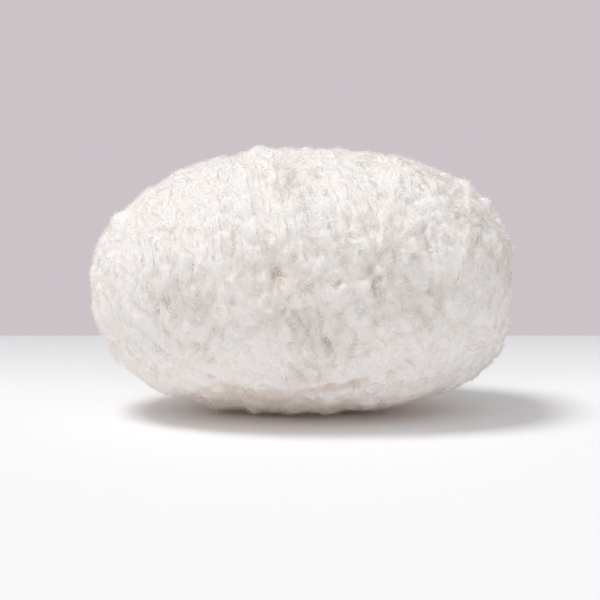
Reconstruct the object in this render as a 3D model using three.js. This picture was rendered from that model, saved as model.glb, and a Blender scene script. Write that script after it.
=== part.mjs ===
// An oval ball of fluffy looped yarn, lying on its side on a flat surface.
// Millimetres, +X along the ball, -Y towards the viewer, +Z up, origin under the middle of the ball.
// One strand is wound round and round, so the ball is one solid: an oval body, the raised bands
// where many turns lie side by side, a shallow dimple at each end, and a flat spot underneath.
import * as THREE from "three";
import { mergeVertices } from "three/addons/utils/BufferGeometryUtils.js";

// Driving sizes of the ball without its raised bands.
const HALF_LENGTH = 67.2;
const HALF_DEPTH = 43.3;
const HALF_HEIGHT = 43.1;
const SAGGED_HEIGHT = 41.9; // the half height under the axis, where the ball's weight presses it
const AXIS_HEIGHT = 40.3; // over the surface: less than the sagged half height, for a flat spot

// How full each shoulder of the outline is: 2 is an ellipse, and more is squarer.
const FULLNESS_TOP_LEFT = 1.75;
const FULLNESS_TOP_RIGHT = 2.9;
const FULLNESS_BOTTOM_LEFT = 2.1;
const FULLNESS_BOTTOM_RIGHT = 2.4;

// Where the turns leave the axis free at each end.
const DIMPLE_DEPTH = 4;
const DIMPLE_RADIUS = 8;

// Soft unevenness between the bands: its height, and waves round the ball and along it.
const LUMP_RISE = 0.8;
const LUMP_WAVES = [
  { round: 5, along: 7.3, start: 0.4 },
  { round: 3, along: 11.1, start: 2.1 },
  { round: 8, along: 4.7, start: 4.4 },
];

// The mesh: rows from end to end, and points in each row.
const ROWS = 70;
const POINTS_ROUND = 78;
const ROW_CROWDING = 0.1; // draws rows from the ends to the belly, so that they lie evenly

const YARN_COLOUR = 0xefece6;
const YARN_ROUGHNESS = 0.95;

// The bands of turns, each a loop right round the ball, in the plane through the axis point that
// lies at shift (from -1 at the left end to 1 at the right). lean is how far the plane is turned
// from upright across the ball, in degrees, and swing is which way it leans: 90 leans it to the
// left at the front's top, 270 to the right. half is the band's half width, and rise its height.
const BELLY_BANDS = [
  { shift: -0.86, lean: 24, swing: 80, half: 6.5, rise: 1.2 },
  { shift: -0.72, lean: 14, swing: 280, half: 6.0, rise: 1.6 },
  { shift: -0.57, lean: 12, swing: 95, half: 6.4, rise: 1.8 },
  { shift: -0.42, lean: 9, swing: 250, half: 5.6, rise: 1.6 },
  { shift: -0.28, lean: 5, swing: 110, half: 5.4, rise: 2.0 },
  { shift: -0.15, lean: 7, swing: 75, half: 4.6, rise: 1.9 },
  { shift: 0.01, lean: 8, swing: 85, half: 5.6, rise: 1.9 },
  { shift: 0.15, lean: 13, swing: 100, half: 5.4, rise: 1.6 },
  { shift: 0.3, lean: 10, swing: 265, half: 5.8, rise: 2.0 },
  { shift: 0.44, lean: 16, swing: 90, half: 5.6, rise: 1.7 },
  { shift: 0.58, lean: 12, swing: 290, half: 5.4, rise: 2.0 },
  { shift: 0.72, lean: 18, swing: 70, half: 5.6, rise: 1.8 },
  { shift: 0.86, lean: 22, swing: 255, half: 6.0, rise: 1.4 },
];
const SLANTED_BANDS = [
  { shift: -0.2, lean: 38, swing: 90, half: 5.0, rise: 1.6 },
  { shift: 0.16, lean: 36, swing: 88, half: 5.2, rise: 1.4 },
  { shift: 0.0, lean: 44, swing: 270, half: 5.0, rise: 1.2 },
  { shift: 0.05, lean: 52, swing: 20, half: 5.0, rise: 1.3 },
  { shift: -0.05, lean: 50, swing: 200, half: 5.0, rise: 1.3 },
];
const LONG_BANDS = [
  { shift: 0.0, lean: 80, swing: 141, half: 5.4, rise: 2.1 },
  { shift: 0.0, lean: 86, swing: 128, half: 5.0, rise: 1.9 },
  { shift: 0.0, lean: 74, swing: 152, half: 4.6, rise: 2.0 },
  { shift: 0.0, lean: 78, swing: 60, half: 5.0, rise: 1.2 },
  { shift: 0.0, lean: 82, swing: 15, half: 5.0, rise: 1.2 },
  { shift: 0.0, lean: 70, swing: 98, half: 4.6, rise: 1.0 },
];

// Each band with the plane of its loop. The plane's normal is stretched with the ball, so that a
// point's distance from the plane comes out in millimetres.
const BANDS = [...BELLY_BANDS, ...SLANTED_BANDS, ...LONG_BANDS].map((band) => {
  const lean = THREE.MathUtils.degToRad(band.lean);
  const swing = THREE.MathUtils.degToRad(band.swing);
  const normal = new THREE.Vector3(
    Math.cos(lean),
    Math.sin(lean) * Math.cos(swing),
    Math.sin(lean) * Math.sin(swing),
  );
  const size = new THREE.Vector3(HALF_LENGTH, HALF_DEPTH, HALF_HEIGHT);
  const steepness = normal.clone().divide(size).length();
  return { ...band, normal, steepness, offset: band.shift * normal.x };
});

// The height that the bands add at a direction from the ball's middle: each is a low rounded
// ridge, and where bands cross the higher one shows.
function bandRise(direction) {
  const heights = BANDS.map((band) => {
    const away = (direction.dot(band.normal) - band.offset) / band.steepness;
    const share = 1 - (away / band.half) ** 2;
    return band.rise * Math.max(0, share);
  });
  return Math.max(...heights);
}

// Gentle waves in three directions, added together.
function lumpRise(direction) {
  const round = Math.atan2(direction.z, direction.y);
  const girth = Math.hypot(direction.y, direction.z);
  const waves = LUMP_WAVES.map(
    (w) => Math.sin(w.round * round + w.start) * Math.sin(w.along * direction.x + w.start),
  );
  return (LUMP_RISE * girth * waves.reduce((sum, wave) => sum + wave, 0)) / waves.length;
}

// How full the outline is at a direction, between the four shoulders' own values.
function fullnessAt(direction) {
  const { lerp } = THREE.MathUtils;
  const up = (1 + direction.z) / 2;
  const left = lerp(FULLNESS_BOTTOM_LEFT, FULLNESS_TOP_LEFT, up);
  const right = lerp(FULLNESS_BOTTOM_RIGHT, FULLNESS_TOP_RIGHT, up);
  return lerp(left, right, (1 + direction.x) / 2);
}

// The point of the ball's surface that lies in a direction from its middle.
function surfacePoint(direction) {
  const fullness = fullnessAt(direction);
  const along = Math.abs(direction.x);
  const across = Math.hypot(direction.y, direction.z);
  const stretch = (along ** fullness + across ** fullness) ** (-1 / fullness);

  const size = new THREE.Vector3(HALF_LENGTH, HALF_DEPTH, HALF_HEIGHT);
  const point = direction.clone().multiplyScalar(stretch).multiply(size);
  const outward = direction.clone().divide(size).normalize();
  const fromAxis = Math.hypot(point.y, point.z) / DIMPLE_RADIUS;
  const inDimple = Math.exp(-(fromAxis ** 2)); // 1 on the axis, fading to 0 outside the dimple
  const rise = bandRise(direction) + lumpRise(direction);
  point.addScaledVector(outward, rise * (1 - inDimple));
  point.x -= Math.sign(direction.x) * DIMPLE_DEPTH * inDimple;
  if (point.z < 0) point.z *= SAGGED_HEIGHT / HALF_HEIGHT;
  point.z = Math.max(0, point.z + AXIS_HEIGHT); // the flat spot that the ball rests on
  return point;
}

// A unit sphere with its poles on X, each point moved out to the ball's surface.
function ballGeometry() {
  const sphere = new THREE.SphereGeometry(1, POINTS_ROUND, ROWS);
  sphere.deleteAttribute("normal");
  sphere.deleteAttribute("uv");
  sphere.rotateZ(-Math.PI / 2);
  const ball = mergeVertices(sphere, 1e-5);
  const position = ball.getAttribute("position");
  const direction = new THREE.Vector3();
  for (let i = 0; i < position.count; i++) {
    direction.fromBufferAttribute(position, i).normalize();
    const fromEnd = Math.acos(THREE.MathUtils.clamp(direction.x, -1, 1));
    const crowded = fromEnd + ROW_CROWDING * Math.sin(2 * fromEnd);
    const girth = Math.hypot(direction.y, direction.z) || 1;
    const turned = new THREE.Vector3(
      Math.cos(crowded),
      (Math.sin(crowded) * direction.y) / girth,
      (Math.sin(crowded) * direction.z) / girth,
    );
    const point = surfacePoint(turned);
    position.setXYZ(i, point.x, point.y, point.z);
  }
  ball.computeBoundingBox();
  const middle = ball.boundingBox.getCenter(new THREE.Vector3());
  ball.translate(-middle.x, -middle.y, 0);
  ball.computeVertexNormals();
  return ball;
}

const yarn = new THREE.MeshStandardMaterial({
  color: YARN_COLOUR,
  roughness: YARN_ROUGHNESS,
  metalness: 0,
});

const ball = new THREE.Mesh(ballGeometry(), yarn);
ball.name = "yarn_ball";

const group = new THREE.Group();
group.add(ball);

export default group;
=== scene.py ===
# An oval ball of fluffy white looped yarn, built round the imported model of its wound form.
import math

import bpy
import numpy as np
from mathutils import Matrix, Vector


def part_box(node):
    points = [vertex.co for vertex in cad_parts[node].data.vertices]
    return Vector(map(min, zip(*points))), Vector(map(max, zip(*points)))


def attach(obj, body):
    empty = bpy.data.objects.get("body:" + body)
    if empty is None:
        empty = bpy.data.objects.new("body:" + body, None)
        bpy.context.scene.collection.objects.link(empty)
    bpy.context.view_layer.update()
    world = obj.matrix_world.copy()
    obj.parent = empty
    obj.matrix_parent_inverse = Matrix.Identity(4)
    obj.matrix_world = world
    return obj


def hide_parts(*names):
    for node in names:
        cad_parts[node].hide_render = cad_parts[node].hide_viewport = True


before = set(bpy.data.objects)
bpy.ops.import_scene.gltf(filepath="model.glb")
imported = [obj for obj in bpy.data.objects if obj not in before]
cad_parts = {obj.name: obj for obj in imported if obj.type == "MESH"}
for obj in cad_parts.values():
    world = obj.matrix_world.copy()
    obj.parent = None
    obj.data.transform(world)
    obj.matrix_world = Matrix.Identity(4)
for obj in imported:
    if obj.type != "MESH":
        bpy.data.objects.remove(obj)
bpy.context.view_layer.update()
MM = 0.001

# Camera: low in front of the ball and a long way off, as for a product picture, so that the ball's
# outline shows almost square on.
PHOTO_SIDE = 600  # pixels, the photograph's width and height
BALL_MIDDLE_PIXEL = (301.7, 279.5)
BALL_LENGTH_PIXELS = 418.5  # without the fluff that stands off it
CAMERA_ELEVATION = math.radians(8.0)
CAMERA_LENS = 150.0
CAMERA_SENSOR = 36.0
CAMERA_CLIP = (0.01, 50.0)

ball_low, ball_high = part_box("yarn_ball")
ball_middle = (ball_low + ball_high) / 2
frame_width = (ball_high.x - ball_low.x) * PHOTO_SIDE / BALL_LENGTH_PIXELS
camera_distance = frame_width * CAMERA_LENS / CAMERA_SENSOR

camera = bpy.data.objects.new("photo_camera", bpy.data.cameras.new("photo_camera"))
bpy.context.scene.collection.objects.link(camera)
camera.data.lens = CAMERA_LENS
camera.data.sensor_width = CAMERA_SENSOR
camera.data.clip_start, camera.data.clip_end = CAMERA_CLIP
camera.location = (
    ball_middle.x,
    ball_middle.y - camera_distance * math.cos(CAMERA_ELEVATION),
    ball_middle.z + camera_distance * math.sin(CAMERA_ELEVATION),
)
camera.rotation_euler = (math.pi / 2 - CAMERA_ELEVATION, 0.0, 0.0)
camera.data.shift_x = (PHOTO_SIDE / 2 - BALL_MIDDLE_PIXEL[0]) / PHOTO_SIDE
camera.data.shift_y = (BALL_MIDDLE_PIXEL[1] - PHOTO_SIDE / 2) / PHOTO_SIDE
bpy.context.scene.camera = camera


# The wound body: the mass of turns under the down, of looped wool blend strand, wound crosswise and
# pressed together by its own tension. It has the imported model's form, and the matted fluff of its
# turns stands up in soft puffs.
HALF_SIZE = np.array([67.2, 43.3, 43.1])  # millimetres, as every size of the ball and its strand
SAGGED_HEIGHT = 41.9
AXIS_HEIGHT = 40.3
FULLNESS_TOP = (1.75, 2.9)  # left and right
FULLNESS_BOTTOM = (2.1, 2.4)
DIMPLE_DEPTH, DIMPLE_RADIUS = 4.0, 8.0
LUMP_RISE = 0.8
LUMP_WAVES = [(5, 7.3, 0.4), (3, 11.1, 2.1), (8, 4.7, 4.4)]  # round, along, start

# The bands of turns that lie side by side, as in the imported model. Each runs right round the ball in
# a plane that crosses the axis at shift (from -1 at the left end to 1 at the right) and is turned
# from upright by lean, towards swing, in degrees. half is its half width, and rise its height.
BAND_COLUMNS = ("shift", "lean", "swing", "half", "rise")
BANDS = [
    (-0.86, 24, 80, 6.5, 1.2),
    (-0.72, 14, 280, 6.0, 1.6),
    (-0.57, 12, 95, 6.4, 1.8),
    (-0.42, 9, 250, 5.6, 1.6),
    (-0.28, 5, 110, 5.4, 2.0),
    (-0.15, 7, 75, 4.6, 1.9),
    (0.01, 8, 85, 5.6, 1.9),
    (0.15, 13, 100, 5.4, 1.6),
    (0.3, 10, 265, 5.8, 2.0),
    (0.44, 16, 90, 5.6, 1.7),
    (0.58, 12, 290, 5.4, 2.0),
    (0.72, 18, 70, 5.6, 1.8),
    (0.86, 22, 255, 6.0, 1.4),
    (-0.2, 38, 90, 5.0, 1.6),
    (0.16, 36, 88, 5.2, 1.4),
    (0.0, 44, 270, 5.0, 1.2),
    (0.05, 52, 20, 5.0, 1.3),
    (-0.05, 50, 200, 5.0, 1.3),
    (0.0, 80, 141, 5.4, 2.1),
    (0.0, 86, 128, 5.0, 1.9),
    (0.0, 74, 152, 4.6, 2.0),
    (0.0, 78, 60, 5.0, 1.2),
    (0.0, 82, 15, 5.0, 1.2),
    (0.0, 70, 98, 4.6, 1.0),
]
band = dict(zip(BAND_COLUMNS, np.array(BANDS, float).T))
band_lean = np.radians(band["lean"])
band_swing = np.radians(band["swing"])
band_normal = np.stack(
    [
        np.cos(band_lean),
        np.sin(band_lean) * np.cos(band_swing),
        np.sin(band_lean) * np.sin(band_swing),
    ],
    1,
)
band_steepness = np.linalg.norm(band_normal / HALF_SIZE, axis=1)
band_offset = band["shift"] * band_normal[:, 0]
TURNS_IN_BAND = 3
band_pitch = 2 * band["half"] / TURNS_IN_BAND
BAND_BLEND = 0.6  # how softly bands cross
BAND_SHARE = 0.5  # of their height that shows, since the fluff fills the valleys to BAND_FILL
BAND_FILL = 0.4

PUFF_WAVES = 14
PUFF_LENGTHS = (7.0, 11.0)
PUFF_RISE = 0.95
NUB_WAVES = 14
NUB_LENGTHS = (3.0, 4.6)
NUB_STRETCH = np.array([1.0, 0.65, 0.65])  # nubs are longer round the ball than along it
NUB_RISE = (0.36, 0.78)  # in smooth and in open places
CREASE_WIDTH = 0.5  # how softly puffs meet, and nubs too, as a share of their height
LOW_RELIEF = 0.4  # how much higher the puffs and nubs are at the bottom, as a share
TURN_DIP = 0.25  # between one turn and the next
LEAST_OVERLAP = 0.3  # lets the dips fade out beside a band

# Open places, where the loops stand clear: a share of the way along the ball, degrees round it from
# the front over the top, and a radius.
OPEN_COLUMNS = ("along", "round", "size")
OPEN_PLACES = [
    (-0.08, 8, 15),
    (0.32, 22, 17),
    (0.5, 2, 13),
    (0.12, -10, 12),
    (-0.5, -4, 13),
    (-0.25, 150, 16),
    (0.3, 185, 17),
    (0.0, 60, 9),
    (0.55, 120, 14),
    (-0.6, 200, 12),
    (0.05, 250, 15),
    (0.05, -22, 8),
    (0.6, 72, 9),
    (0.82, 66, 8),
    (0.75, 40, 9),
    (0.93, 40, 9),
    (-0.93, 130, 9),
]
OPEN_EDGE = 4  # the power that makes their edge hard
OPEN_RAGGED = 2.0  # how far their edge wanders, with
OPEN_WANDER = 0.7  # the puffs' waves at this share of their steepness

# Hollows in the fluff, and tufts on it where the depth is less than 0: long and wide are the half
# sizes of each, and turned says how its length lies, in degrees from the ball's length. The long ones
# near the bottom make the crevice under the lowest overhanging turns.
HOLLOW_COLUMNS = ("along", "round", "long", "wide", "turned", "depth")
HOLLOWS = [
    (-0.107, 13.5, 2.3, 1.5, 80, 1.6),
    (-0.6, 1, 2.4, 0.9, 120, 1.4),
    (-0.64, -4, 2.0, 0.7, 120, 1.2),
    (0.0, -5, 3.2, 0.8, 125, 1.4),
    (0.56, 26, 3.4, 0.8, 105, 1.7),
    (0.33, 7, 3.2, 0.7, 105, 1.3),
    (0.13, -16, 3.2, 0.7, 125, 1.2),
    (0.35, 12, 1.6, 0.8, 20, 1.3),
    (-0.3, 3, 1.6, 0.8, 100, 1.1),
    (-0.075, -2, 1.4, 0.8, 60, 1.2),
    (0.54, 36, 1.8, 1.0, 80, 1.4),
    (0.677, 47, 1.6, 0.9, 90, 1.4),
    (0.18, 29, 1.5, 0.8, 60, 1.2),
    (0.77, 40, 1.6, 0.8, 100, 1.2),
    (0.31, 16, 1.5, 0.8, 110, 1.2),
    (0.18, 10, 1.4, 0.8, 70, 1.2),
    (0.567, 7, 1.8, 0.9, 100, 1.4),
    (0.19, -39, 12, 1.6, 13, 3.8),
    (-0.25, -44, 15, 1.4, -4, 1.8),
    (0.42, -33, 7, 0.6, 0, 1.0),
    (0.45, -40, 6, 0.7, 8, 1.2),
    (-0.4, -36, 9, 0.7, -14, 0.9),
    (-0.19, 86, 3.8, 2.8, 70, -2.2),
    (-0.13, 80, 2.6, 2.0, 30, -0.9),
    (-0.86, 80, 4.6, 3.2, 100, -1.9),
    (-0.58, 88, 3.6, 2.8, 60, -1.3),
    (-0.4, 92, 2.6, 2.0, 50, -0.8),
    (0.04, 92, 2.6, 2.0, 90, -0.7),
    (0.3, 90, 2.6, 2.2, 70, -0.8),
    (0.56, 88, 3.2, 2.4, 100, -1.2),
    (0.64, 88, 2.2, 1.8, 90, -1.1),
    (0.675, 84, 1.6, 1.0, 90, 1.1),
    (0.72, 86, 2.4, 2.0, 90, -1.6),
    (0.77, 82, 1.6, 1.0, 90, 1.2),
    (0.815, 84, 2.4, 2.0, 90, -1.6),
    (0.88, 76, 2.2, 2.0, 90, -1.4),
    (0.93, 56, 2.6, 2.2, 60, -1.3),
    (0.955, 10, 2.8, 2.0, 90, -0.9),
    (-0.955, 30, 3.0, 2.2, 90, -0.9),
    (-0.93, -30, 2.8, 2.0, 80, -0.7),
    (0.88, -48, 2.8, 2.0, 70, -1.0),
    (0.2, 150, 2.4, 1.2, 80, 1.8),
    (-0.4, 200, 2.2, 1.0, 100, 1.6),
    (0.5, 210, 2.0, 1.0, 60, 1.6),
]
HOLLOW_EDGE = 1.5  # the power that makes their rim hard

# The underside draws in where the ball's weight rests: between these shares of the way down from the
# axis, so far, with an edge that sways up and down by a share along the ball's length.
TUCK_PLACE = (0.64, 0.84)
TUCK_DEPTH = 2.2
TUCK_SWAY = (0.05, 6.0)

random = np.random.default_rng(7)


def unit(vectors):
    """Each vector divided by its length."""
    return vectors / np.maximum(np.linalg.norm(vectors, axis=-1, keepdims=True), 1e-9)


def between(bounds, share):
    """The value that lies at a share of the way from the first bound to the second."""
    return bounds[0] + (bounds[1] - bounds[0]) * share


def random_waves(count, lengths):
    """Wave vectors in random directions, of lengths between two bounds, and a random start for each."""
    ways = unit(random.normal(0, 1, (count, 3))) * 2 * math.pi / random.uniform(*lengths, (count, 1))
    return ways, random.uniform(0, 2 * math.pi, count)


def bubbled(place, ways, starts):
    """Rounded puffs with soft creases between them, from 0 to 1: the size of many sine waves added
    together, bent over at the top by a hyperbolic tangent."""
    waves = np.sin(place @ ways.T + starts).sum(-1) / math.sqrt(len(starts) / 2)
    return np.tanh(np.hypot(waves, CREASE_WIDTH) - CREASE_WIDTH)


puff_ways, puff_starts = random_waves(PUFF_WAVES, PUFF_LENGTHS)
nub_ways, nub_starts = random_waves(NUB_WAVES, NUB_LENGTHS)


def band_places(direction):
    """Each band's own height at each direction, and how far the direction lies from the middle of
    that band: a low ridge, the square of one less the square of the distance over the half width."""
    away = (direction @ band_normal.T - band_offset) / band_steepness
    return band["rise"] * np.maximum(0, 1 - (away / band["half"]) ** 2) ** 2, away


def top_band(direction):
    """The number of the highest band at each direction, or else of the nearest one, and how far the
    direction lies from the middle of it."""
    heights, away = band_places(direction)
    top = (heights - 1e-3 * np.abs(away)).argmax(-1)
    return top, np.take_along_axis(away, top[..., None], -1)[..., 0]


def middles(table):
    """The points of a plain oval ball at each row's share along it and angle round it."""
    girth = np.sqrt(1 - table["along"] ** 2)
    angle = np.radians(table["round"])
    return HALF_SIZE * np.stack([table["along"], -girth * np.cos(angle), girth * np.sin(angle)], 1)


open_place = dict(zip(OPEN_COLUMNS, np.array(OPEN_PLACES, float).T))
open_middle = middles(open_place)

hollow = dict(zip(HOLLOW_COLUMNS, np.array(HOLLOWS, float).T))
hollow_middle = middles(hollow)
hollow_round = np.radians(hollow["round"])
hollow_turned = np.radians(hollow["turned"])[:, None]
length_way = np.array([1.0, 0.0, 0.0])
round_way = np.stack([0 * hollow_round, np.sin(hollow_round), np.cos(hollow_round)], 1)
long_way = unit(length_way * np.cos(hollow_turned) + round_way * np.sin(hollow_turned))


def hollow_depth(direction):
    """How deep the hollows go at each direction, less the height of the tufts: for each one a bell
    curve over its oval, steeper than a plain one at the rim."""
    away = (direction * HALF_SIZE)[..., None, :] - hollow_middle
    on_long = (away * long_way).sum(-1)
    on_wide = np.sqrt(np.maximum((away**2).sum(-1) - on_long**2, 0))
    far = (on_long / hollow["long"]) ** 2 + (on_wide / hollow["wide"]) ** 2
    return (hollow["depth"] * np.exp(-(far**HOLLOW_EDGE))).sum(-1)


def openness(direction):
    """How open the winding is, from 0 where it is smooth and matted to 1 where its loops stand clear:
    a round spot at each open place, its edge made ragged by three of the puffs' waves."""
    place = direction * HALF_SIZE
    ragged = place + OPEN_RAGGED * np.sin(place @ puff_ways[:3].T * OPEN_WANDER)
    far = np.linalg.norm(ragged[..., None, :] - open_middle, axis=-1) / open_place["size"]
    return np.exp(-(far**OPEN_EDGE)).max(-1)


def fluff(direction):
    """How high the fluff stands over the bands: large puffs and small nubs on them, less a dip
    between each turn and the next, a cosine across them, less the hollows, and less the underside's
    drawing in, a smooth step downwards."""
    place = direction * HALF_SIZE
    heights, away = band_places(direction)
    dips = (1 - np.cos(2 * math.pi * away / band_pitch)) / 2
    in_front = np.exp((heights - heights.max(-1, keepdims=True)) / BAND_BLEND)
    in_front *= np.minimum(1, heights / BAND_BLEND)
    dip = (dips * in_front).sum(-1) / in_front.sum(-1).clip(LEAST_OVERLAP)
    puffs = PUFF_RISE * (bubbled(place, puff_ways, puff_starts) - 0.5)
    nubs = bubbled(place * NUB_STRETCH, nub_ways, nub_starts) - 0.5
    nubs = between(NUB_RISE, openness(direction)) * nubs
    down = -direction[..., 2]
    sway = TUCK_SWAY[0] * np.sin(TUCK_SWAY[1] * direction[..., 0])
    under = np.clip((down - TUCK_PLACE[0] - sway) / (TUCK_PLACE[1] - TUCK_PLACE[0]), 0, 1)
    tuck = TUCK_DEPTH * under**2 * (3 - 2 * under)
    relief = 1 + LOW_RELIEF * np.clip(down, 0, 1)
    return relief * (puffs + nubs) - TURN_DIP * dip - hollow_depth(direction) - tuck


def formed_point(direction, lift):
    """The point of the ball in each direction from its middle, raised by lift: an oval whose outline
    is a superellipse, fuller at some shoulders than at others, plus the bands, blended where they
    cross by the logarithm of the sum of their exponentials, plus gentle waves, less the dimples."""
    x, y, z = np.moveaxis(direction, -1, 0)
    up, right = (1 + z) / 2, (1 + x) / 2
    left_fullness = between((FULLNESS_BOTTOM[0], FULLNESS_TOP[0]), up)
    right_fullness = between((FULLNESS_BOTTOM[1], FULLNESS_TOP[1]), up)
    fullness = between((left_fullness, right_fullness), right)
    girth = np.hypot(y, z)
    stretch = (np.abs(x) ** fullness + girth**fullness) ** (-1 / fullness)
    point = direction * stretch[..., None] * HALF_SIZE
    round_angle = np.arctan2(z, y)
    waves = sum(np.sin(r * round_angle + s) * np.sin(a * x + s) for r, a, s in LUMP_WAVES)
    heights = band_places(direction)[0]
    highest = BAND_BLEND * np.log(np.exp(heights / BAND_BLEND).sum(-1) - heights.shape[-1] + 1)
    highest = BAND_SHARE * highest + (1 - BAND_SHARE) * BAND_FILL
    rise = highest + LUMP_RISE * girth * waves / len(LUMP_WAVES)
    from_axis = np.hypot(point[..., 1], point[..., 2]) / DIMPLE_RADIUS
    in_dimple = np.exp(-(from_axis**2))
    point = point + unit(direction / HALF_SIZE) * (rise * (1 - in_dimple) + lift)[..., None]
    point[..., 0] -= np.sign(x) * DIMPLE_DEPTH * in_dimple
    point[..., 2] *= np.where(point[..., 2] < 0, SAGGED_HEIGHT / HALF_SIZE[2], 1)
    point[..., 2] += AXIS_HEIGHT
    return point


def mesh_piece(name, points, quads, ends, smooth):
    """A mesh object from points in millimetres and two arrays of corner numbers, its quads and the
    faces that close its ends, shaded smooth or flat."""
    faces = [np.asarray(f, np.int32) for f in (quads, ends)]
    corners = np.concatenate([f.ravel() for f in faces])
    sizes = np.concatenate([np.full(len(f), f.shape[1], np.int32) for f in faces])
    mesh = bpy.data.meshes.new(name)
    mesh.vertices.add(len(points))
    mesh.vertices.foreach_set("co", (points * MM).astype(np.float32).ravel())
    mesh.loops.add(len(corners))
    mesh.loops.foreach_set("vertex_index", corners)
    mesh.polygons.add(len(sizes))
    starts = np.concatenate([[0], np.cumsum(sizes)[:-1]])
    mesh.polygons.foreach_set("loop_start", starts.astype(np.int32))
    mesh.polygons.foreach_set("use_smooth", np.full(len(sizes), smooth))
    mesh.update(calc_edges=True)
    mesh.validate()
    piece = bpy.data.objects.new(name, mesh)
    bpy.context.scene.collection.objects.link(piece)
    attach(piece, "root")
    return piece


BODY_ROWS, BODY_ROUND = 240, 250
BODY_SINK = (0.25, 0.6)  # in smooth and in open places; the down and the loops fill this depth
BODY_LIFT = 0.4  # off the surface that the ball lies on

from_end = np.linspace(0, math.pi, BODY_ROWS + 1)[1:-1, None]
round_ball = np.linspace(0, 2 * math.pi, BODY_ROUND, endpoint=False)[None, :]
body_rings = np.stack(
    [
        np.cos(from_end) * np.ones_like(round_ball),
        np.sin(from_end) * np.cos(round_ball),
        np.sin(from_end) * np.sin(round_ball),
    ],
    -1,
)
ends = np.array([[1.0, 0, 0], [-1.0, 0, 0]])
body_direction = np.concatenate([body_rings.reshape(-1, 3), ends])
plain_ball = formed_point(body_direction, np.zeros(len(body_direction)))
ball_shift = (plain_ball.min(0) + plain_ball.max(0)) / 2 * [1, 1, 0]


def surface_point(direction, lift):
    """The point of the ball in each direction, with the ball's box centred over the origin."""
    return formed_point(direction, lift) - ball_shift


body_sink = between(BODY_SINK, openness(body_direction))
body_points = surface_point(body_direction, fluff(body_direction) - body_sink)
body_points[:, 2] = np.maximum(body_points[:, 2], BODY_LIFT)
row, column = np.meshgrid(np.arange(BODY_ROWS - 2), np.arange(BODY_ROUND), indexing="ij")
following = (column + 1) % BODY_ROUND
body_quads = np.stack(
    [
        row * BODY_ROUND + column,
        (row + 1) * BODY_ROUND + column,
        (row + 1) * BODY_ROUND + following,
        row * BODY_ROUND + following,
    ],
    -1,
).reshape(-1, 4)
first_ring = np.arange(BODY_ROUND)
last_ring = (BODY_ROWS - 2) * BODY_ROUND + first_ring
right_end = (BODY_ROWS - 1) * BODY_ROUND
body_fans = np.concatenate(
    [
        np.stack([np.full(BODY_ROUND, right_end), first_ring, np.roll(first_ring, -1)], 1),
        np.stack([np.full(BODY_ROUND, right_end + 1), np.roll(last_ring, -1), last_ring], 1),
    ]
)
wound_body = mesh_piece("wound_body", body_points, body_quads, body_fans, True)
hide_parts("yarn_ball")

# How deep each point lies under the bands' height, which sets the painted shade in the hollows.
body_depth = body_sink - fluff(body_direction)
depth_of_points = wound_body.data.attributes.new("fluff_depth", "FLOAT", "POINT")
depth_of_points.data.foreach_set("value", body_depth.astype(np.float32))

WOOL_ROUGHNESS = 0.9
WOOL_SHEEN = (0.25, 0.6)  # its weight and its roughness
WOOL_SPECULAR = 0.25


def wool(name):
    """Matt wool with the sheen of its fluff: the material and its shader."""
    material = bpy.data.materials.new(name)
    material.use_nodes = True
    shader = material.node_tree.nodes["Principled BSDF"]
    shader.inputs["Roughness"].default_value = WOOL_ROUGHNESS
    shader.inputs["Sheen Weight"].default_value = WOOL_SHEEN[0]
    shader.inputs["Sheen Roughness"].default_value = WOOL_SHEEN[1]
    shader.inputs["Specular IOR Level"].default_value = WOOL_SPECULAR
    return material, shader


# The body's colour and finish: white, with painted shade darker and warmer in its hollows, and rough
# with tiny curls.
BODY_WHITE = (0.94, 0.92, 0.9)
BODY_PAINTED_SHADE = (0.84, 0.77, 0.712)
PAINTED_SHADE_DEPTHS = (0.5, 2.2)  # where the painted shade starts, and where it is full
CURL_SCALE = 420.0
CURL_DETAIL = 2.0
CURL_DISTORTION = 1.5
CURL_STRENGTH = 0.4
CURL_HEIGHT = 0.0005  # metres

body_wool, body_shader = wool("body_wool")
nodes, links = body_wool.node_tree.nodes, body_wool.node_tree.links
depth = nodes.new("ShaderNodeAttribute")
depth.attribute_name = "fluff_depth"
# The painted shade: how far each point goes into the hollows' darker, warmer colour, by its depth.
deep = nodes.new("ShaderNodeMapRange")
deep.interpolation_type = "SMOOTHSTEP"
deep.inputs["From Min"].default_value = PAINTED_SHADE_DEPTHS[0]
deep.inputs["From Max"].default_value = PAINTED_SHADE_DEPTHS[1]
links.new(depth.outputs["Fac"], deep.inputs["Value"])
shade = nodes.new("ShaderNodeMix")
shade.data_type = "RGBA"
shade.inputs["A"].default_value = (*BODY_WHITE, 1)
shade.inputs["B"].default_value = (*BODY_PAINTED_SHADE, 1)
links.new(deep.outputs["Result"], shade.inputs["Factor"])
links.new(shade.outputs["Result"], body_shader.inputs["Base Color"])
body_place = nodes.new("ShaderNodeTexCoord")
curls = nodes.new("ShaderNodeTexNoise")
curls.noise_type = "RIDGED_MULTIFRACTAL"
curls.inputs["Scale"].default_value = CURL_SCALE
curls.inputs["Detail"].default_value = CURL_DETAIL
curls.inputs["Distortion"].default_value = CURL_DISTORTION
links.new(body_place.outputs["Object"], curls.inputs["Vector"])
bump = nodes.new("ShaderNodeBump")
bump.inputs["Strength"].default_value = CURL_STRENGTH
bump.inputs["Distance"].default_value = CURL_HEIGHT
links.new(curls.outputs["Fac"], bump.inputs["Height"])
links.new(bump.outputs["Normal"], body_shader.inputs["Normal"])
wound_body.data.materials.append(body_wool)


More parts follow.
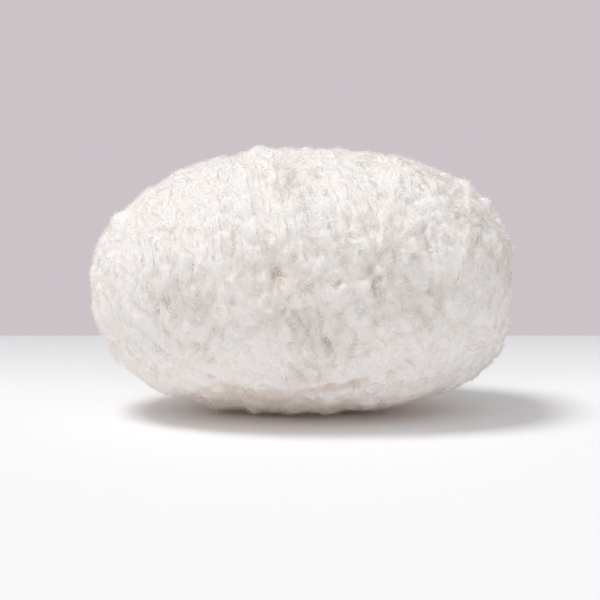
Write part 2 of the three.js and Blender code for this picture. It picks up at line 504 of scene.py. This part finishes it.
# The turns of the strand's core: a thin firm thread that the loops are spun round. Each turn runs
# right round the ball in its band, wavering, so that it shows in a few places and lies under the
# fluff in the others, and it goes under the bands that cross over it.
TURN_POINTS = 120
TURN_SIDES = 3
TURN_RADIUS = (0.14, 0.2)
TURN_WAVER = (0.45, 0.6)  # to the sides and outwards
TURN_WAVES = (28, 61)  # on the way round, slow and quick
WAVE_SHARES = (0.7, 0.5)  # of the slow and the quick wave
TURN_THICKENING = 0.3
TURN_LIFT = (-0.1, -0.4)  # on upright bands, and on those that lean most
FARTHEST_OUT = 0.98  # of a turn's plane, as a share of the way from the ball's middle to its surface
OFF_PATH = (0.31, 0.77, 0.56)  # a direction that no path follows
OFF_NORMAL = (0.0, 0.6, 0.8)  # a direction that no band's plane faces
CLEARANCE = 0.3  # of the strand over the surface that the ball lies on


def tubes(paths, radii, sides):
    """Closed tubes along many paths at once, of shape (tubes, points, 3). A side direction is carried
    from point to point, kept square to the path, and the section's corners turn round it."""
    ahead = np.empty_like(paths)
    ahead[:, 1:-1] = paths[:, 2:] - paths[:, :-2]
    ahead[:, 0] = paths[:, 1] - paths[:, 0]
    ahead[:, -1] = paths[:, -1] - paths[:, -2]
    ahead = unit(ahead)
    side = np.empty_like(paths)
    side[:, 0] = unit(np.cross(ahead[:, 0], OFF_PATH))
    for step in range(1, paths.shape[1]):
        last = side[:, step - 1]
        along_path = np.sum(last * ahead[:, step], 1, keepdims=True)
        side[:, step] = unit(last - along_path * ahead[:, step])
    up = np.cross(ahead, side)
    angle = np.arange(sides) * 2 * math.pi / sides
    ring = side[:, :, None] * np.cos(angle)[:, None] + up[:, :, None] * np.sin(angle)[:, None]
    points = paths[:, :, None] + ring * radii[:, :, None, None]
    count, steps = paths.shape[:2]
    tube, step, corner = np.meshgrid(
        np.arange(count), np.arange(steps - 1), np.arange(sides), indexing="ij"
    )
    here = (tube * steps + step) * sides
    after = (corner + 1) % sides
    quads = np.stack([here + corner, here + after, here + sides + after, here + sides + corner], -1)
    first = np.arange(count)[:, None] * steps * sides
    last = first + (steps - 1) * sides
    caps = np.concatenate([first + np.arange(sides)[::-1], last + np.arange(sides)])
    return points.reshape(-1, 3), quads.reshape(-1, 4), caps


def waver(count):
    """A slow and a quick sine wave added for each turn, with random starts, over one way round."""
    progress = np.linspace(0, 1, TURN_POINTS)[None, :]
    slow = np.sin(2 * math.pi * (TURN_WAVES[0] * progress + random.random((count, 1))))
    quick = np.sin(2 * math.pi * (TURN_WAVES[1] * progress + random.random((count, 1))))
    return WAVE_SHARES[0] * slow + WAVE_SHARES[1] * quick


turn_band = np.repeat(np.arange(len(BANDS)), TURNS_IN_BAND)
turn_order = np.arange(TURNS_IN_BAND) - (TURNS_IN_BAND - 1) / 2
turn_place = np.tile(turn_order, len(BANDS)) * band_pitch[turn_band]
turn_count = len(turn_band)
turn_normal = band_normal[turn_band]
turn_sideways = turn_place[:, None] + TURN_WAVER[0] * waver(turn_count)
plane_offset = band_offset[turn_band][:, None] + turn_sideways * band_steepness[turn_band][:, None]
plane_offset = np.clip(plane_offset, -FARTHEST_OUT, FARTHEST_OUT)
across_plane = unit(np.cross(turn_normal, OFF_NORMAL))
third_way = np.cross(turn_normal, across_plane)
turn_start = random.uniform(0, 2 * math.pi, (turn_count, 1, 1))
turn_angle = np.linspace(0, 2 * math.pi, TURN_POINTS)[None, :, None] + turn_start
circle = np.cos(turn_angle) * across_plane[:, None] + np.sin(turn_angle) * third_way[:, None]
turn_direction = (
    turn_normal[:, None] * plane_offset[..., None] + circle * np.sqrt(1 - plane_offset**2)[..., None]
)
all_heights, all_away = band_places(turn_direction)
own_height = np.take_along_axis(all_heights, turn_band[:, None, None], -1)[..., 0]
turn_lift = own_height - all_heights.max(-1) + TURN_WAVER[1] * waver(turn_count)
turn_lift += between(TURN_LIFT, np.sin(band_lean[turn_band]))[:, None]
turn_paths = surface_point(turn_direction, turn_lift + fluff(turn_direction))
turn_paths[..., 2] = np.maximum(turn_paths[..., 2], CLEARANCE)
turn_thickness = random.uniform(*TURN_RADIUS, (turn_count, 1))
turn_radii = turn_thickness * (1 + TURN_THICKENING * waver(turn_count))
turns_piece = mesh_piece("turns_of_core", *tubes(turn_paths, turn_radii, TURN_SIDES), False)

DOWN_WHITES = ((0.965, 0.945, 0.93), (0.977, 0.963, 0.953))
DOWN_THROUGH = 0.82
PATCH_SCALE = 140.0
PATCH_DETAIL = 4.0
PATCH_EDGES = (0.35, 0.6)


def thin_wool(name, whites, through):
    """Wool of thin strand or of down: two near whites mixed by a soft noise, and a share of its light
    that comes through from behind."""
    material, shader = wool(name)
    nodes, links = material.node_tree.nodes, material.node_tree.links
    place = nodes.new("ShaderNodeTexCoord")
    patches = nodes.new("ShaderNodeTexNoise")
    patches.inputs["Scale"].default_value = PATCH_SCALE
    patches.inputs["Detail"].default_value = PATCH_DETAIL
    links.new(place.outputs["Object"], patches.inputs["Vector"])
    ramp = nodes.new("ShaderNodeValToRGB")
    for stop, edge, white in zip(ramp.color_ramp.elements, PATCH_EDGES, whites):
        stop.position = edge
        stop.color = (*white, 1)
    links.new(patches.outputs["Fac"], ramp.inputs["Fac"])
    links.new(ramp.outputs["Color"], shader.inputs["Base Color"])
    behind = nodes.new("ShaderNodeBsdfTranslucent")
    links.new(ramp.outputs["Color"], behind.inputs["Color"])
    both = nodes.new("ShaderNodeMixShader")
    both.inputs["Fac"].default_value = through
    links.new(shader.outputs["BSDF"], both.inputs[1])
    links.new(behind.outputs["BSDF"], both.inputs[2])
    links.new(both.outputs["Shader"], nodes["Material Output"].inputs["Surface"])
    return material


# The turns are as matted as the down that covers them.
down_wool = thin_wool("down_wool", DOWN_WHITES, DOWN_THROUGH)
turns_piece.data.materials.append(down_wool)


# The loops of the looped strand: each is a short length of soft strand, spun slack round the core,
# that curls over itself a few times. They lie along the turns that they belong to, and most show in
# the open places.
LOOP_COUNT = 3200
LOOP_SHARE = (0.05, 0.55)  # of them that show and are made, in smooth and in open places
LOOP_POINTS = 22
LOOP_SIDES = 4
LOOP_LENGTH = 3.2
LOOP_TURNS = (1.5, 2.6)
LOOP_REACH = (0.75, 0.8, 0.3)  # along the turn, across it and outwards
LOOP_RADIUS = (0.12, 0.18)
LOOP_THICKENING = (0.7, 0.3)  # by chance, and by how open the place is
LOOP_TAPER = (1.15, 6)  # where it starts, and the power that makes it quick
LOOP_END = 0.2  # of its thickness, at both ends
LOOP_SIZE = (0.75, 1.1)  # in smooth and in open places
LOOP_SIZES = (0.8, 1.2)  # round that size
LOOP_WANDER = 0.5
LOOP_LIFT = (-0.1, 0.45)  # in smooth and in open places
LOOP_SCATTER = 0.45  # sideways from its turn
LOOSE_SHARE = 0.25  # of what is laid on the turns, the part that stays between them
THREAD_WHITES = ((0.983, 0.968, 0.95), (0.99, 0.979, 0.965))
THREAD_THROUGH = 0.35
SPREAD_SPARE = 1.6  # how many more are spread at first, before the thinning
SPREAD_SCATTER = 0.35  # over the square root of their number: a tenth of the distance between them
QUARTERS = ("left_end", "left", "right", "right_end")


def spread_over_ball(count):
    """Directions spread evenly over the ball's surface: a golden spiral over the sphere, thinned
    by how much more surface the belly has than the ends, with a little scatter."""
    many = int(count * SPREAD_SPARE)
    order = np.arange(many) + 0.5
    along = 1 - 2 * order / many
    turn = order * math.pi * (3 - math.sqrt(5))
    girth = np.sqrt(1 - along**2)
    direction = np.stack([along, girth * np.cos(turn), girth * np.sin(turn)], 1)
    direction = unit(direction + random.normal(0, SPREAD_SCATTER / math.sqrt(many), direction.shape))
    area = np.linalg.norm(direction / HALF_SIZE, axis=1)
    keep = random.random(many) < area / area.max()
    return direction[keep]


def onto_turns(direction):
    """The directions moved sideways onto the nearest turn of the highest band, but for a loose share
    of them, with a little scatter; and that band's number for each."""
    top, away = top_band(direction)
    pitch = band_pitch[top]
    last_turn = (TURNS_IN_BAND - 1) / 2
    turn = np.clip(np.round(away / pitch), -last_turn, last_turn)
    snapped = (np.abs(away) < band["half"][top]) & (random.random(len(away)) > LOOSE_SHARE)
    shift = np.where(snapped, turn * pitch - away, 0) + random.normal(0, LOOP_SCATTER, len(away))
    return unit(direction + band_normal[top] * (shift * band_steepness[top])[:, None]), top


def turn_ways(direction, numbers):
    """The ways outwards, along the turns of the bands with these numbers, and across them."""
    outwards = unit(direction / HALF_SIZE)
    along = unit(np.cross(band_normal[numbers], outwards))
    return outwards, along, np.cross(outwards, along)


def laid_on_ball(direction, numbers, steps, lift):
    """Paths laid on the fluff: from each direction, steps of so many millimetres along and across the
    turns of its band, and lifted by so many. The ball's size turns the steps into directions."""
    along, across = turn_ways(direction, numbers)[1:]
    moved = along[:, None] * steps[0][..., None] + across[:, None] * steps[1][..., None]
    spread = unit(direction[:, None] + moved / HALF_SIZE)
    paths = surface_point(spread, fluff(spread) + lift)
    paths[..., 2] = np.maximum(paths[..., 2], CLEARANCE)
    return paths


def quarters(direction):
    """A name and the numbers of the places for each quarter of the ball, from its left end on."""
    return zip(QUARTERS, np.array_split(np.argsort(direction[:, 0]), len(QUARTERS)))


loop_direction = spread_over_ball(LOOP_COUNT)
loop_kept = random.random(len(loop_direction)) < between(LOOP_SHARE, openness(loop_direction))
loop_direction, loop_band = onto_turns(loop_direction[loop_kept])
loop_count = len(loop_direction)
loop_progress = np.linspace(-0.5, 0.5, LOOP_POINTS)[None, :]
loop_open = openness(loop_direction)
loop_size = random.uniform(*LOOP_SIZES, (loop_count, 1)) * between(LOOP_SIZE, loop_open)[:, None]
loop_turn = random.uniform(*LOOP_TURNS, (loop_count, 1)) * random.choice([-1, 1], (loop_count, 1))
loop_start = random.uniform(0, 2 * math.pi, (loop_count, 1))
loop_angle = loop_start + 2 * math.pi * loop_turn * loop_progress
loop_wander = np.sin(2 * loop_angle / 3 + 2 * loop_start)
along_path = LOOP_LENGTH * loop_progress + LOOP_REACH[0] * loop_size * np.cos(loop_angle)
across_path = LOOP_REACH[1] * loop_size * (np.sin(loop_angle) + LOOP_WANDER * loop_wander)
out_path = LOOP_REACH[2] * loop_size * np.sin(loop_angle + 3 * loop_start)
loop_lift = out_path + between(LOOP_LIFT, loop_open)[:, None]
loop_paths = laid_on_ball(loop_direction, loop_band, (along_path, across_path), loop_lift)
loop_taper = LOOP_TAPER[0] - (2 * np.abs(loop_progress)) ** LOOP_TAPER[1]
loop_taper = np.clip(loop_taper, LOOP_END, 1.0)
loop_thickness = LOOP_THICKENING[0] * random.random(loop_count) + LOOP_THICKENING[1] * loop_open
loop_radii = between(LOOP_RADIUS, loop_thickness)[:, None] * loop_taper
thread_wool = thin_wool("thread_wool", THREAD_WHITES, THREAD_THROUGH)
for name, chosen in quarters(loop_direction):
    loop_tubes = tubes(loop_paths[chosen], loop_radii[chosen], LOOP_SIDES)
    piece = mesh_piece("loops_" + name, *loop_tubes, True)
    piece.data.materials.append(thread_wool)


# Lengths of core that stand clear: where a turn is looser than its neighbours, a few millimetres of
# its thread rise out of the fluff. They show from the ball's middle up to its shoulder, upright and
# side by side, and most of them where the winding is smooth.
STRAND_COUNT = 900
STRAND_SHARE = (0.8, 0.15)  # of them that are made, in smooth and in open places
STRAND_POINTS = 16
STRAND_SIDES = 4
STRAND_LENGTH = (3.0, 9.0)
STRAND_RADIUS = (0.15, 0.21)
STRAND_LIFT = (-0.9, 0.6)  # at the ends and in the middle
STRAND_WAVER = (0.3, 1.6)  # to the sides, and its radians to the millimetre
STRAND_SHAKE = 0.2  # outwards
STRAND_HEIGHTS = (-0.05, 0.5)  # shares of the way up from the axis, between which they lie
UPRIGHT_BANDS = 13  # of the table's first rows, whose turns run straight up the ball

strand_direction = spread_over_ball(STRAND_COUNT)
strand_share = between(STRAND_SHARE, openness(strand_direction))
strand_kept = random.random(len(strand_direction)) < strand_share
strand_direction, strand_band = onto_turns(strand_direction[strand_kept])
strand_height = strand_direction[:, 2]
upright = (strand_height > STRAND_HEIGHTS[0]) & (strand_height < STRAND_HEIGHTS[1])
upright &= strand_band < UPRIGHT_BANDS
strand_direction, strand_band = strand_direction[upright], strand_band[upright]
strand_count = len(strand_direction)
strand_progress = np.linspace(-0.5, 0.5, STRAND_POINTS)[None, :]
strand_length = random.uniform(*STRAND_LENGTH, (strand_count, 1))
strand_start = random.uniform(0, 2 * math.pi, (strand_count, 1))
strand_angle = STRAND_WAVER[1] * strand_length * strand_progress + strand_start
strand_waver = STRAND_WAVER[0] * np.sin(strand_angle)
strand_steps = (strand_length * strand_progress, strand_waver)
strand_lift = between(STRAND_LIFT, 1 - (2 * strand_progress) ** 2)
strand_lift = strand_lift + STRAND_SHAKE * np.cos(2 * strand_waver + strand_start)
strand_paths = laid_on_ball(strand_direction, strand_band, strand_steps, strand_lift)
strand_radii = random.uniform(*STRAND_RADIUS, (strand_count, 1)) * np.ones_like(strand_progress)
strands_piece = mesh_piece("strands_clear", *tubes(strand_paths, strand_radii, STRAND_SIDES), True)
strands_piece.data.materials.append(thread_wool)


# The down: short fine hairs of the blend that have worked out of the strand. They lie over the puffs
# all over, each bent and rising a little, and make the soft edge all round the ball. One stands for a
# few real fibres.
HAIR_COUNT = 52000
HAIR_LENGTH = (1.4, 3.1)
HAIR_RADIUS = (0.05, 0.078)
HAIR_STRAY = 1.1  # radians to either side of the turn, the standard deviation
HAIR_SLOPE = (0.05, 0.65)  # radians up from the surface
HAIR_BEND = 1.3  # radians from its lower half to its upper, the standard deviation
HAIR_LAID = 0.3  # the share of its slope and bend that its upper half has upwards
HAIR_TAPER = 0.8
HAIR_SINK = 0.35
HAIR_CLEARANCE = 0.2  # over the surface that the ball lies on
HAIR_THINNING = (0.5, 1.4)  # in open places, and for each millimetre of a hollow's depth

hair_direction = spread_over_ball(HAIR_COUNT)
hair_room = 1 - HAIR_THINNING[0] * openness(hair_direction)
hair_room = hair_room - HAIR_THINNING[1] * hollow_depth(hair_direction)
hair_direction = hair_direction[random.random(len(hair_direction)) < hair_room]
hair_count = len(hair_direction)
hair_out, hair_along, hair_across = turn_ways(hair_direction, top_band(hair_direction)[0])
hair_half = random.uniform(*HAIR_LENGTH, (hair_count, 1)) / 2
hair_way = random.choice([0.0, math.pi], (hair_count, 1))
hair_way = hair_way + random.normal(0, HAIR_STRAY, (hair_count, 1))
hair_slope = random.uniform(*HAIR_SLOPE, (hair_count, 1))


def hair_step(way, slope):
    """One half of each hair: a step of half its length, turned from its turn by way in the plane of
    the surface and raised from it by slope."""
    flat = hair_along * np.cos(way) + hair_across * np.sin(way)
    return hair_half * (flat * np.cos(slope) + hair_out * np.sin(slope))


hair_root = surface_point(hair_direction, fluff(hair_direction) - HAIR_SINK)
hair_middle = hair_root + hair_step(hair_way, hair_slope)
hair_turn = random.normal(0, HAIR_BEND, (2, hair_count, 1))
hair_tip_slope = HAIR_LAID * (hair_slope + hair_turn[1])
hair_tip = hair_middle + hair_step(hair_way + hair_turn[0], hair_tip_slope)
hair_side = unit(np.cross(hair_middle - hair_root, hair_out))
hair_up = unit(np.cross(hair_side, hair_middle - hair_root))
hair_corner = (np.arange(3) * 2 * math.pi / 3)[:, None]
hair_ring = hair_side[:, None] * np.cos(hair_corner) + hair_up[:, None] * np.sin(hair_corner)
hair_ring = hair_ring * random.uniform(*HAIR_RADIUS, (hair_count, 1, 1))
hair_points = np.concatenate(
    [
        hair_root[:, None] + hair_ring,
        hair_middle[:, None] + HAIR_TAPER * hair_ring,
        hair_tip[:, None],
    ],
    1,
)
hair_points[..., 2] = np.maximum(hair_points[..., 2], HAIR_CLEARANCE)
hair_quads = np.array([[0, 1, 4, 3], [1, 2, 5, 4], [2, 0, 3, 5]])
hair_triangles = np.array([[2, 1, 0], [3, 4, 6], [4, 5, 6], [5, 3, 6]])
points_in_hair = hair_points.shape[1]
for name, chosen in quarters(hair_direction):
    first = points_in_hair * np.arange(len(chosen))[:, None, None]
    piece = mesh_piece(
        "down_" + name,
        hair_points[chosen].reshape(-1, 3),
        (hair_quads + first).reshape(-1, 4),
        (hair_triangles + first).reshape(-1, 3),
        False,
    )
    piece.data.materials.append(down_wool)


# The floor that the ball lies on, wide and pale, with painted shade that darkens its colour behind it
# to a lilac grey. The light is soft: a bright one nearly overhead and from the left, a wide weak one
# from the front, and a pale sky.
FLOOR_REACH = 12.0  # metres to each side
FLOOR_SHADE_FADE = (0.04, 0.152)  # metres behind the ball's middle, between which its painted shade deepens
FLOOR_ROUGHNESS = 0.8
FLOOR_TONES = [  # each at a share of that way
    (0.0, (0.93, 0.93, 0.94)),
    (0.96, (0.7, 0.695, 0.71)),
    (1.0, (0.58, 0.53, 0.555)),
]
KEY_ENERGY = 1.66
KEY_WIDTH = 22.0  # degrees across
KEY_TURN = (3.0, -20.0)  # degrees from overhead, towards the viewer and towards the left
FILL_ENERGY = 0.42
FILL_WIDTH = 100.0
FILL_TURN = (55.0, 0.0)
SKY_COLOUR = (1.0, 0.985, 0.99)
SKY_STRENGTH = (0.26, 0.56)  # level and overhead
LIGHT_BOUNCES = (24, 16)  # of all kinds together, and of each

scene = bpy.context.scene
scene.view_settings.view_transform = "Standard"
scene.cycles.max_bounces, scene.cycles.diffuse_bounces = LIGHT_BOUNCES
scene.cycles.transmission_bounces = LIGHT_BOUNCES[1]
floor_mesh = bpy.data.meshes.new("floor")
floor_signs = ((-1, -1), (1, -1), (1, 1), (-1, 1))
floor_corners = [(x * FLOOR_REACH, y * FLOOR_REACH, 0) for x, y in floor_signs]
floor_mesh.from_pydata(floor_corners, [], [(0, 1, 2, 3)])
floor = bpy.data.objects.new("floor", floor_mesh)
scene.collection.objects.link(floor)
floor_material = bpy.data.materials.new("floor_white")
floor_material.use_nodes = True
floor_nodes, floor_links = floor_material.node_tree.nodes, floor_material.node_tree.links
floor_shader = floor_nodes["Principled BSDF"]
floor_shader.inputs["Roughness"].default_value = FLOOR_ROUGHNESS
floor_place = floor_nodes.new("ShaderNodeTexCoord")
floor_axes = floor_nodes.new("ShaderNodeSeparateXYZ")
floor_links.new(floor_place.outputs["Object"], floor_axes.inputs[0])
# The painted shade: the floor's colour darkens from white towards the back.
floor_painted_shade = floor_nodes.new("ShaderNodeMapRange")
floor_painted_shade.inputs["From Min"].default_value = FLOOR_SHADE_FADE[0]
floor_painted_shade.inputs["From Max"].default_value = FLOOR_SHADE_FADE[1]
floor_links.new(floor_axes.outputs["Y"], floor_painted_shade.inputs["Value"])
floor_ramp = floor_nodes.new("ShaderNodeValToRGB")
floor_ramp.color_ramp.elements.new(0.5)
for stop, (place_of_tone, tone) in zip(floor_ramp.color_ramp.elements, FLOOR_TONES):
    stop.position = place_of_tone
    stop.color = (*tone, 1)
floor_links.new(floor_painted_shade.outputs["Result"], floor_ramp.inputs["Fac"])
floor_links.new(floor_ramp.outputs["Color"], floor_shader.inputs["Base Color"])
floor_mesh.materials.append(floor_material)


def soft_light(name, energy, width, turn):
    """A wide far light, so many degrees across, turned from overhead."""
    light = bpy.data.objects.new(name, bpy.data.lights.new(name, "SUN"))
    light.data.energy = energy
    light.data.angle = math.radians(width)
    light.rotation_euler = (math.radians(turn[0]), math.radians(turn[1]), 0)
    scene.collection.objects.link(light)


soft_light("key_light", KEY_ENERGY, KEY_WIDTH, KEY_TURN)
soft_light("fill_light", FILL_ENERGY, FILL_WIDTH, FILL_TURN)

world = bpy.data.worlds.new("studio")
world.use_nodes = True
sky_nodes, sky_links = world.node_tree.nodes, world.node_tree.links
sky_nodes["Background"].inputs["Color"].default_value = (*SKY_COLOUR, 1)
sky_place = sky_nodes.new("ShaderNodeTexCoord")
sky_axes = sky_nodes.new("ShaderNodeSeparateXYZ")
sky_links.new(sky_place.outputs["Generated"], sky_axes.inputs[0])
sky_rise = sky_nodes.new("ShaderNodeMapRange")
sky_rise.inputs["To Min"].default_value = SKY_STRENGTH[0]
sky_rise.inputs["To Max"].default_value = SKY_STRENGTH[1]
sky_links.new(sky_axes.outputs["Z"], sky_rise.inputs["Value"])
sky_links.new(sky_rise.outputs["Result"], sky_nodes["Background"].inputs["Strength"])
scene.world = world
